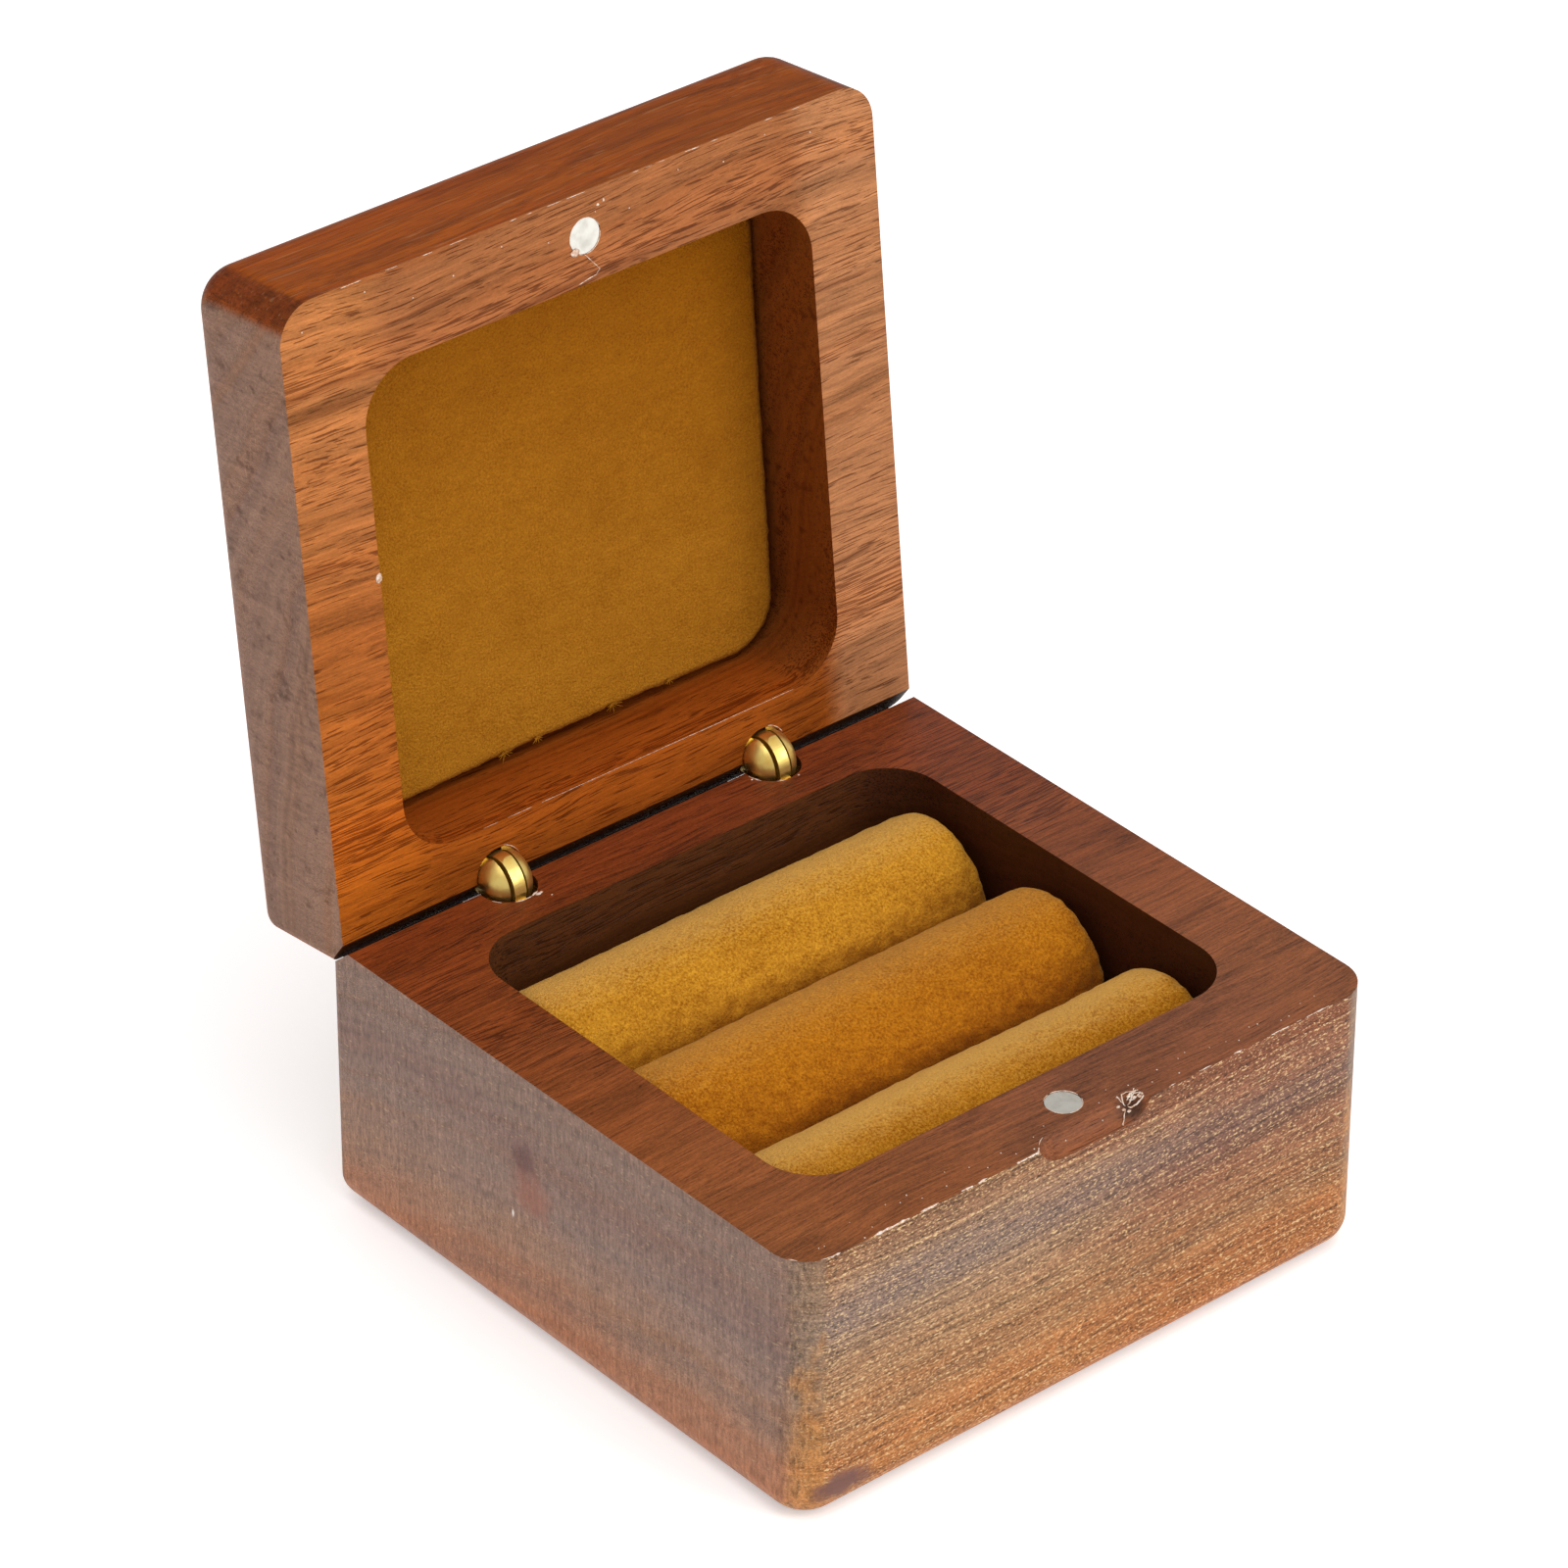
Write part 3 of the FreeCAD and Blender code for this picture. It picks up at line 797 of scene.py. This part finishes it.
def inflate(mesh, floor_z):
    """The blank remeshed and blown up as cloth that is held at its flat foot."""
    centre = sum((v.co for v in mesh.vertices), Vector()) / len(mesh.vertices)
    mesh.transform(Matrix.Scale(SIM_SCALE, 4) @ Matrix.Translation(-centre))
    work = bpy.data.objects.new("cloth_work", mesh)
    bpy.context.scene.collection.objects.link(work)
    remesh = work.modifiers.new("remesh", "REMESH")
    remesh.mode = "VOXEL"
    remesh.voxel_size = ROLL_VOXEL * SIM_SCALE
    bpy.context.view_layer.update()
    work.data = evaluated_mesh(work)
    work.modifiers.clear()
    rest = [v.co.copy() for v in work.data.vertices]
    foot = work.vertex_groups.new(name="foot")
    low = (floor_z - centre.z + 0.5 * MM) * SIM_SCALE
    foot.add([v.index for v in work.data.vertices if v.co.z < low], 1.0, "REPLACE")
    cloth = work.modifiers.new("cloth", "CLOTH")
    cloth.settings.quality = 5
    cloth.settings.mass = 0.3
    cloth.settings.tension_stiffness = 20
    cloth.settings.compression_stiffness = 20
    cloth.settings.bending_stiffness = 1.5
    cloth.settings.use_pressure = True
    cloth.settings.uniform_pressure_force = 4.0
    cloth.settings.vertex_group_mass = "foot"
    cloth.settings.effector_weights.gravity = 0.0
    cloth.point_cache.frame_start = 1
    cloth.point_cache.frame_end = SIM_FRAMES
    for number in range(1, SIM_FRAMES + 1):
        bpy.context.scene.frame_set(number)
    settled = evaluated_mesh(work)
    bpy.context.scene.frame_set(1)
    work.modifiers.clear()
    cap = ROLL_CAP * SIM_SCALE
    for v, start in zip(settled.vertices, rest):
        move = v.co - start
        # the ends stay nearly flat
        move.x *= 0.4
        v.co = start + move * min(1.0, cap / max(move.length, cap))
    work.data = settled
    even = work.modifiers.new("even", "SMOOTH")
    even.factor, even.iterations = 0.5, 6
    finer = work.modifiers.new("finer", "SUBSURF")
    finer.levels = finer.render_levels = 1
    bpy.context.view_layer.update()
    out = evaluated_mesh(work)
    bpy.data.objects.remove(work)
    out.transform(Matrix.Translation(centre) @ Matrix.Scale(1 / SIM_SCALE, 4))
    return out


def fit_box(mesh, lo, hi):
    """Stretches the mesh to fill the box exactly."""
    low, high = limits([v.co for v in mesh.vertices])
    for v in mesh.vertices:
        v.co = Vector([
            lo[i] + (v.co[i] - low[i]) / (high[i] - low[i]) * (hi[i] - lo[i]) for i in range(3)
        ])


def keep_off(mesh, node_name, gap):
    """Lifts every vertex that is nearer than gap to a CAD solid, or inside it."""
    solid = frame["nodes"][node_name]
    for v in mesh.vertices:
        hit, spot, normal, _ = solid.closest_point_on_mesh(v.co)
        if hit and (v.co - spot).dot(normal) < gap:
            v.co = spot + normal * gap


def velvet_roll(name):
    node_name = "roll_velvet_" + name
    lo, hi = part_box(node_name)
    mesh = inflate(roll_blank(lo, hi), lo.z)
    # the pile reaches a little past the plain solid at its ends, short of the pocket's walls
    inset = Vector((-0.2 * MM, 0.08 * MM, 0.12 * MM))
    fit_box(mesh, lo + Vector((inset.x, inset.y, 0.02 * MM)), hi - inset)
    seed = len(name) * 3.1
    keep_off(mesh, "roll_core_" + name, ROLL_OVER_CORE)
    mesh.update()
    normals = [v.normal.copy() for v in mesh.vertices]
    for v, outward in zip(mesh.vertices, normals):
        if v.co.z < lo.z + 0.4 * MM:
            continue
        at_end = max(0.0, 1 - min(v.co.x - lo.x, hi.x - v.co.x) / (3 * MM))
        swell = 0.06 * ripple(v.co, 9 * MM, seed) + 0.05 * ripple(v.co, 2.4 * MM, seed + 3)
        nap = ripple(v.co, 0.9 * MM, seed + 5) * (0.07 + 0.06 * at_end)
        v.co += outward * (swell + nap) * MM
    smooth(mesh)
    made = piece("velvet_roll_" + name, mesh, roll_velvet, "base")
    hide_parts(node_name)


for roll_name in ("back", "middle", "front"):
    velvet_roll(roll_name)


# ---- lid lining: one glued sheet of velvet ----------------------------------
def shut_box(node_name):
    """A lid node's lowest corner, highest corner and points in the shut frame."""
    points = [TO_SHUT @ v.co for v in frame["nodes"][node_name].data.vertices]
    return *limits(points), points


LINING_STEPS = (110, 104)
LINING_CORNER = 4.5 * MM
LINING_BOW = 0.45 * MM


def lining_outline():
    """Function from (u, v) to the panel's (x, y) in the shut frame; v = 1 is the hinge side."""
    low, high, points = shut_box("lid_panel_velvet")
    end = 6.5 * MM
    right_back = max(p.x for p in points if p.y > high.y - end)
    back_right = max(p.y for p in points if p.x > high.x - end)

    def at(u, v):
        x_right = high.x + (right_back - high.x) * v
        y_back = high.y + (back_right - high.y) * u - 4 * u * (1 - u) * LINING_BOW
        x = low.x + (x_right - low.x) * u
        y = low.y + (y_back - low.y) * v
        from_side = min(x - low.x, x_right - x) / LINING_CORNER
        from_end = min(y - low.y, y_back - y) / LINING_CORNER
        if from_side < 1 and from_end < 1:
            s, t = 1 - from_side, 1 - from_end
            pull = max(s, t) / max(math.hypot(s, t), 1e-9)
            s, t = LINING_CORNER * (1 - s * pull), LINING_CORNER * (1 - t * pull)
            x = low.x + s if u < 0.5 else x_right - s
            y = low.y + t if v < 0.5 else y_back - t
        return x, y

    return at, low, high


def lining_tufts(at, surface_z):
    """A few loose fibre tufts caught on the lining's hinge-side edge."""
    places = ((0.34, 1.0), (0.42, 0.6), (0.6, 1.0), (0.74, 0.6))
    hairs, bends, thick = 9, 4, 0.05 * MM
    parts = []
    for number, (u, share) in enumerate(places):
        x, y = at(u, 1.0)
        for k in range(hairs):
            lean = 2 * math.pi * (k / hairs + 0.13 * number)
            length = share * (0.75 + 0.5 * jitter(0.7 * k, number, 0.5)) * MM
            path = []
            for step in range(bends + 1):
                f = step / bends
                spread = f * (0.6 + 0.4 * f) * length
                path.append(TO_OPEN @ Vector((
                    x + spread * math.cos(lean),
                    y - 0.2 * MM + spread * (0.35 + 0.65 * math.sin(lean)),
                    surface_z - f * (1.2 - 0.5 * f) * length * 0.6,
                )))
            radii = [thick * (1 - 0.6 * i / bends) for i in range(bends + 1)]
            parts.append(tube(path, radii, 5))
    mesh = mesh_from("lining_tufts", *merged(parts))
    smooth(mesh)
    return piece("lining_tufts", mesh, lining_velvet, "lid")


def lid_lining():
    at, low, high = lining_outline()
    across, down = LINING_STEPS
    face, back, faces = [], [], []
    for j in range(down + 1):
        for i in range(across + 1):
            u, v = i / across, j / down
            x, y = at(u, v)
            rim = min(u, 1 - u, v, 1 - v)
            torn = max(0.0, 1 - rim / 0.012)
            wave = 0.14 * ripple((x, y, 0), 2.6 * MM, 4.0) + 0.14 * ripple((x, y, 0), 0.7 * MM, 9.0)
            wave -= 0.06
            lift = 0.06 * ripple((x, y, 0), 9 * MM, 2.0) + 0.035 * ripple((x, y, 0), 1.1 * MM, 6.0)
            fall = 0.1 * max(0.0, 1 - rim / 0.008) ** 2
            px = x + math.copysign(torn * wave * MM, u - 0.5)
            py = y + math.copysign(torn * wave * MM, v - 0.5)
            face.append(TO_OPEN @ Vector((px, py, low.z + (0.1 + lift + fall) * MM)))
            back.append(TO_OPEN @ Vector((x, y, high.z - 0.01 * MM)))
    n = across + 1
    total = len(face)
    for j in range(down):
        for i in range(across):
            a, b, c, d = j * n + i, j * n + i + 1, (j + 1) * n + i + 1, (j + 1) * n + i
            faces.append((a, d, c, b))
            faces.append((total + a, total + b, total + c, total + d))
    loop = list(range(across)) + [j * n + across for j in range(down)]
    loop += [down * n + i for i in range(across, 0, -1)] + [j * n for j in range(down, 0, -1)]
    for a, b in zip(loop, loop[1:] + loop[:1]):
        faces.append((a, b, total + b, total + a))
    mesh = mesh_from("lid_lining", face + back, faces)
    smooth(mesh)
    made = piece("lid_lining", mesh, lining_velvet, "lid")
    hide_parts("lid_panel_velvet")
    tufts = lining_tufts(at, low.z + 0.12 * MM)


lid_lining()


# ---- dried varnish and glue, one painted highlight thread, one painted shadow strip ---
BASE_LOW, BASE_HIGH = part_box("base_block")
FRONT, RIM = BASE_LOW.y, BASE_HIGH.z
# the two rims lie as far above and below the pivot when the box is shut
LID_RIM = 2 * PIVOT.z - RIM
CORNER = 3.4 * MM
# in millimetres: the thumb notch's right end, and where the specks along the front begin
NOTCH_END, SPECKS_FROM = 5.8, -27
BARREL_LOW, BARREL_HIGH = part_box("hinge_right_base_barrel")
HINGE_X = (BARREL_LOW.x + BARREL_HIGH.x) / 2
KNUCKLE_CLEAR = 2.8 * MM


def arc(centre, radius, start, stop, z):
    """Points on a level arc, angles in degrees."""
    steps = max(4, int(abs(stop - start) / 5))
    points = []
    for k in range(steps + 1):
        a = math.radians(start + (stop - start) * k / steps)
        points.append(Vector((
            centre[0] + radius * math.cos(a), centre[1] + radius * math.sin(a), z
        )))
    return points


def resampled(points, step):
    out = [Vector(points[0])]
    for a, b in zip(points, points[1:]):
        a, b = Vector(a), Vector(b)
        count = max(1, round((b - a).length / step))
        out += [a + (b - a) * (k + 1) / count for k in range(count)]
    return out


def bead(points, radius, seed, breaks=-1.0, run=1.6 * MM):
    """Lumpy thread of varnish along the points, missing where slow noise is below breaks."""
    parts, line = [], []
    for p in resampled(points, 0.16 * MM) + [None]:
        if p is not None and ripple(p, run, seed) > breaks:
            line.append(p)
            continue
        if len(line) > 3:
            radii = []
            for i, q in enumerate(line):
                taper = min(1.0, 0.45 + 0.3 * min(i, len(line) - 1 - i))
                lump = 0.6 + 1.5 * abs(ripple(q, 0.45 * MM, seed + 2))
                radii.append(radius * lump * taper)
                q.y += 0.7 * radius * ripple(q, 0.5 * MM, seed + 4)
            parts.append(tube(line, radii, 7))
        line = []
    return parts


def varnish(name, body, parts, shut=False):
    points, faces = merged(parts)
    if shut:
        points = [TO_OPEN @ p for p in points]
    mesh = mesh_from(name, points, faces)
    smooth(mesh)
    piece(name, mesh, dried_varnish, body)


def on_base(x, y):
    """The base's surface straight below a point over its rim."""
    block = frame["nodes"]["base_block"]
    hit, spot, _, _ = block.ray_cast(Vector((x, y, RIM + 2 * MM)), Vector((0, 0, -1)))
    return spot if hit else Vector((x, y, RIM))


def rim_edge(x):
    """The point of the rim's front edge at this x, which the thumb notch pushes back."""
    tries, step = 80, 0.03 * MM
    for k in range(tries):
        y = FRONT + step * k
        if on_base(x, y).z > RIM - 0.02 * MM:
            break
    return Vector((x, y + 0.05 * MM, RIM - 0.01 * MM))


def rim_beads():
    """Broken threads of varnish on the rim's front edge and specks behind it."""
    inside = CORNER - 0.08 * MM
    turn = arc((BASE_LOW.x + CORNER, FRONT + CORNER), inside, 205, 268, RIM - 0.01 * MM)
    parts = bead(turn, 0.045 * MM, 3.0, -0.02)
    # left of the notch, down its left end, and right of it
    for start, step, count, radius, seed, breaks, run in (
        (SPECKS_FROM, 0.5, 44, 0.085, 1.0, -0.12, 1.1),
        (-5.7, 0.15, 24, 0.045, 5.0, -0.15, 0.8),
        (5.9, 0.5, 40, 0.055, 2.0, -0.04, 0.8),
    ):
        edge = [rim_edge((start + step * k) * MM) for k in range(count)]
        parts += bead(edge, radius * MM, seed, breaks, run * MM)
    for k in range(38):
        x = (SPECKS_FROM + 1.4 * k + 1.5 * jitter(k, 0.3, 0.4)) * MM
        y = FRONT + (1.7 + 2.2 * jitter(0.3 * k, 4.7 * k, 0.7)) * MM
        size = (0.05 + 0.08 * abs(jitter(k, 8.1, 0.2))) * MM
        spot = on_base(x, y)
        parts.append(drop(spot, (size, size, 0.05 * MM), k))
    varnish("rim_varnish_beads", "base", parts)


def notch_glue():
    """Crumpled skin of glue left at the right end of the thumb notch."""
    threads, bends, lumps = 9, 12, 6
    left, right = NOTCH_END - 2.8, NOTCH_END - 0.4
    front, back = FRONT / MM + 0.1, FRONT / MM + 1.55
    parts = []
    for k in range(threads):
        x = left + 1.1 + 0.9 * jitter(k, 1.1, 0)
        y = front + 0.9 + 0.8 * jitter(k, 2.9, 0)
        heading = 2.4 * k
        path = []
        for step in range(bends):
            heading += 0.9 * jitter(k * 3.1, step * 0.45, 6.0)
            x = min(right, max(left, x + 0.16 * math.cos(heading)))
            y = min(back, max(front, y + 0.13 * math.sin(heading)))
            crest = 0.07 * (1 + jitter(k, step * 0.5, 1.0))
            path.append(on_base(x * MM, y * MM) + Vector((0, 0, crest * MM)))
        parts += bead(path, 0.06 * MM, 3.0 * k)
    for k in range(lumps):
        spot = on_base((left + 0.4 + 0.36 * k) * MM, (front + 1.1 - 0.25 * (k % 3)) * MM)
        parts.append(drop(spot, (0.2 * MM, 0.16 * MM, 0.1 * MM), k + 20.0))
    varnish("notch_glue", "base", parts)


def hinge_glue(name, arcs, blobs):
    """Glue squeezed out round a hinge barrel, on the base's rim.

    arcs are (start angle, stop angle, thickness) and blobs are (angle, distance, size), in
    degrees and millimetres about the barrel's middle.
    """
    low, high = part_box("hinge_" + name + "_base_barrel")
    barrel = (high.x - low.x) / 2
    centre = ((low.x + high.x) / 2, low.y + barrel)
    parts = []
    for start, stop, radius in arcs:
        ring = arc(centre, barrel + 0.08 * MM, start, stop, RIM)
        parts += bead(ring, radius * MM, start)
    for angle, far, size in blobs:
        a = math.radians(angle)
        at = Vector((centre[0] + far * MM * math.cos(a), centre[1] + far * MM * math.sin(a), RIM))
        parts.append(drop(at, (size * MM, size * 0.6 * MM, 0.07 * MM), angle))
    varnish("hinge_glue_" + name, "base", parts)


def groove_shadow_strip():
    """Dark strip in the bottom of the groove between the two halves, clear of both: painted shadow
    that hides the light coming through the gap.
    """
    y = BASE_HIGH.y - 0.4 * MM
    radius, lift, end_gap = 0.074 * MM, 0.072 * MM, 1.1 * MM
    bevel_normal = Vector((0, 0.66, 0.75))
    outer, inner = HINGE_X + KNUCKLE_CLEAR, HINGE_X - KNUCKLE_CLEAR
    parts = []
    for start, stop in ((-BASE_HIGH.x, -outer), (-inner, inner), (outer, BASE_HIGH.x)):
        ends = [on_base(x, y) + bevel_normal * lift for x in (start + end_gap, stop - end_gap)]
        # only the box's own corners stay free of the dark strip
        if start > -outer:
            ends[0].x = start
        if stop < outer:
            ends[1].x = stop
        path = resampled(ends, 1.0 * MM)
        parts.append(tube(path, [radius] * len(path), 8))
    mesh = mesh_from("groove_shadow_strip", *merged(parts))
    smooth(mesh)
    piece("groove_shadow_strip", mesh, groove_shadow_fill, "base")


MAGNET_LOW, MAGNET_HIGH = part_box("base_magnet")
MAGNET_Y = (MAGNET_LOW.y + MAGNET_HIGH.y) / 2


def magnet_ring(name, body, z, shut, extra):
    """Broken ring of varnish round a magnet, with what else lies beside it."""
    radius = MAGNET_HIGH.x + 0.03 * MM
    thick = 0.03 * MM if shut else 0.04 * MM
    parts = bead(arc((0.0, MAGNET_Y), radius, 0, 352, z), thick, 7.0, -0.25, 0.9 * MM)
    varnish(name, body, parts + extra, shut)


def lid_magnet_trail():
    """The crooked thread from the lid's magnet to the pocket, and smears beside the magnet."""
    bends = ((-0.2, 1.5), (0.6, 2.5), (1.2, 3.2), (0.8, 3.6), (0.0, 3.7), (-1.0, 3.9))
    thread = [Vector((x * MM, MAGNET_Y + y * MM, LID_RIM)) for x, y in bends]
    parts = bead(thread, 0.03 * MM, 2.0)
    for x, y, half_x, half_y, seed in (
        (-1.1, 1.1, 0.45, 0.3, 5.0),
        (1.5, -2.2, 0.16, 0.12, 6.0),
        (2.1, -2.4, 0.1, 0.16, 7.0),
    ):
        at = (x * MM, MAGNET_Y + y * MM, LID_RIM)
        parts.append(drop(at, (half_x * MM, half_y * MM, 0.06 * MM), seed))
    return parts


def lid_pocket_edge(x):
    """Point on the hinge-side edge of the lid's pocket, in the shut frame."""
    inside = LID_RIM + 0.5 * MM
    start = TO_OPEN @ Vector((x, 0, inside))
    ahead = (TO_OPEN @ Vector((x, 1, inside)) - start).normalized()
    hit, spot, _, _ = frame["nodes"]["lid_block"].ray_cast(start, ahead)
    y = (TO_SHUT @ spot).y if hit else 0.0
    return Vector((x, y + 0.02 * MM, LID_RIM))


def lid_marks():
    """Loose specks and threads of varnish on the lid's mouth face, with a pale thread on the
    pocket's edge that is partly a painted highlight, in the shut frame.
    """
    z = LID_RIM
    edge = [Vector((x * 0.5 * MM, FRONT + 0.1 * MM, z)) for x in range(-52, 48)]
    parts = bead(edge, 0.032 * MM, 9.0, 0.12, 1.1 * MM)
    # pale thread of varnish along the pocket's hinge-side edge, partly a painted highlight where
    # the edge catches light
    pocket = [lid_pocket_edge(x * 0.5 * MM) for x in range(-36, 38)]
    parts += bead(pocket, 0.022 * MM, 12.0, -0.2, 2.2 * MM)
    barrel_y = BASE_HIGH.y - 2.5 * MM
    for side in (-1, 1):
        ring = arc((side * HINGE_X, barrel_y), 2.42 * MM, -75, -28, z)
        parts += bead(ring, 0.04 * MM, side, -0.4)
    # one clear drop on the left stile, at the pocket's edge
    parts.append(drop((-22.95 * MM, -3.6 * MM, z), (0.3 * MM, 0.45 * MM, 0.07 * MM), 2.0))
    for k in range(12):
        x = (SPECKS_FROM + 4.6 * k + 2 * jitter(k, 0.7, 2)) * MM
        y = FRONT + (2.2 + 2.4 * jitter(k, 3.3, 2)) * MM
        parts.append(drop((x, y, z), (0.07 * MM, 0.07 * MM, 0.04 * MM), k))
    varnish("lid_varnish_specks", "lid", parts, True)


rim_beads()
notch_glue()
groove_shadow_strip()
hinge_glue(
    "left",
    arcs=((-157, -138, 0.05), (-113, -78, 0.06), (-78, -58, 0.1)),
    blobs=((-66, 2.85, 0.28), (-60, 2.95, 0.2), (-61, 3.9, 0.1)),
)
hinge_glue(
    "right",
    arcs=((-178, -150, 0.05), (-120, -100, 0.05)),
    blobs=((-165, 2.8, 0.12), (-75, 2.75, 0.12)),
)
magnet_ring("base_magnet_varnish", "base", RIM, False, [])
magnet_ring("lid_magnet_varnish", "lid", LID_RIM, True, lid_magnet_trail())
lid_marks()


# ---- camera, lights, floor --------------------------------------------------
VIEW_AZIMUTH, VIEW_ELEVATION, VIEW_ROLL = -40.515, 32.856, 0.237
VIEW_TARGET, VIEW_DISTANCE = Vector((0.00831, 0.01801, 0.02956)), 0.62476
LENS, SENSOR = 176.19, 36.0


def camera():
    """Camera at the photograph's angle, as fitted to the box's straight edges."""
    azimuth, elevation, roll = map(math.radians, (VIEW_AZIMUTH, VIEW_ELEVATION, VIEW_ROLL))
    back = Vector((
        math.sin(azimuth) * math.cos(elevation),
        -math.cos(azimuth) * math.cos(elevation),
        math.sin(elevation),
    ))
    right = Vector((math.cos(azimuth), math.sin(azimuth), 0))
    up = back.cross(right)
    right, up = (
        math.cos(roll) * right + math.sin(roll) * up,
        -math.sin(roll) * right + math.cos(roll) * up,
    )
    data = bpy.data.cameras.new("camera")
    data.lens, data.sensor_width = LENS, SENSOR
    data.clip_start, data.clip_end = 0.01, 50.0
    made = bpy.data.objects.new("camera", data)
    bpy.context.scene.collection.objects.link(made)
    turn = Matrix((right, up, back)).transposed().to_4x4()
    made.matrix_world = Matrix.Translation(VIEW_TARGET + VIEW_DISTANCE * back) @ turn
    bpy.context.scene.camera = made


def soft_light(name, azimuth, elevation, distance, size, power):
    """Square light that faces the box, placed by angles in degrees."""
    data = bpy.data.lights.new(name, "AREA")
    data.shape = "SQUARE"
    data.size = size
    data.energy = power
    made = bpy.data.objects.new(name, data)
    bpy.context.scene.collection.objects.link(made)
    a, e = math.radians(azimuth), math.radians(elevation)
    away = Vector((math.sin(a) * math.cos(e), -math.cos(a) * math.cos(e), math.sin(e)))
    made.location = Vector((0, 0.01, 0.03)) + away * distance
    made.rotation_mode = "QUATERNION"
    made.rotation_quaternion = away.to_track_quat("Z", "Y")


def world_light(strength):
    world = bpy.data.worlds.new("studio")
    world.use_nodes = True
    bpy.context.scene.world = world
    background = world.node_tree.nodes["Background"]
    background.inputs["Color"].default_value = (1.0, 1.0, 1.0, 1)
    background.inputs["Strength"].default_value = strength


def floor():
    mesh = bpy.data.meshes.new("floor")
    grid = bmesh.new()
    bmesh.ops.create_grid(grid, x_segments=8, y_segments=8, size=4.0)
    bmesh.ops.translate(grid, verts=grid.verts, vec=(0, 0, cad_box[0].z - 0.05 * MM))
    grid.to_mesh(mesh)
    grid.free()
    s = Shader("pale_floor")
    s.set(
        Base_Color=(0.97, 0.97, 0.97, 1),
        Roughness=0.9,
        Specular_IOR_Level=0.1,
        Emission_Color=(1, 1, 1, 1),
        Emission_Strength=0.36,
    )
    mesh.materials.append(s.material)
    made = bpy.data.objects.new("floor", mesh)
    bpy.context.scene.collection.objects.link(made)


camera()
floor()
world_light(0.62)
soft_light("top_box", azimuth=-20, elevation=76, distance=1.0, size=0.8, power=3.6)
soft_light("front_box", azimuth=28, elevation=30, distance=1.1, size=0.6, power=3.2)
bpy.context.scene.view_settings.view_transform = "Standard"
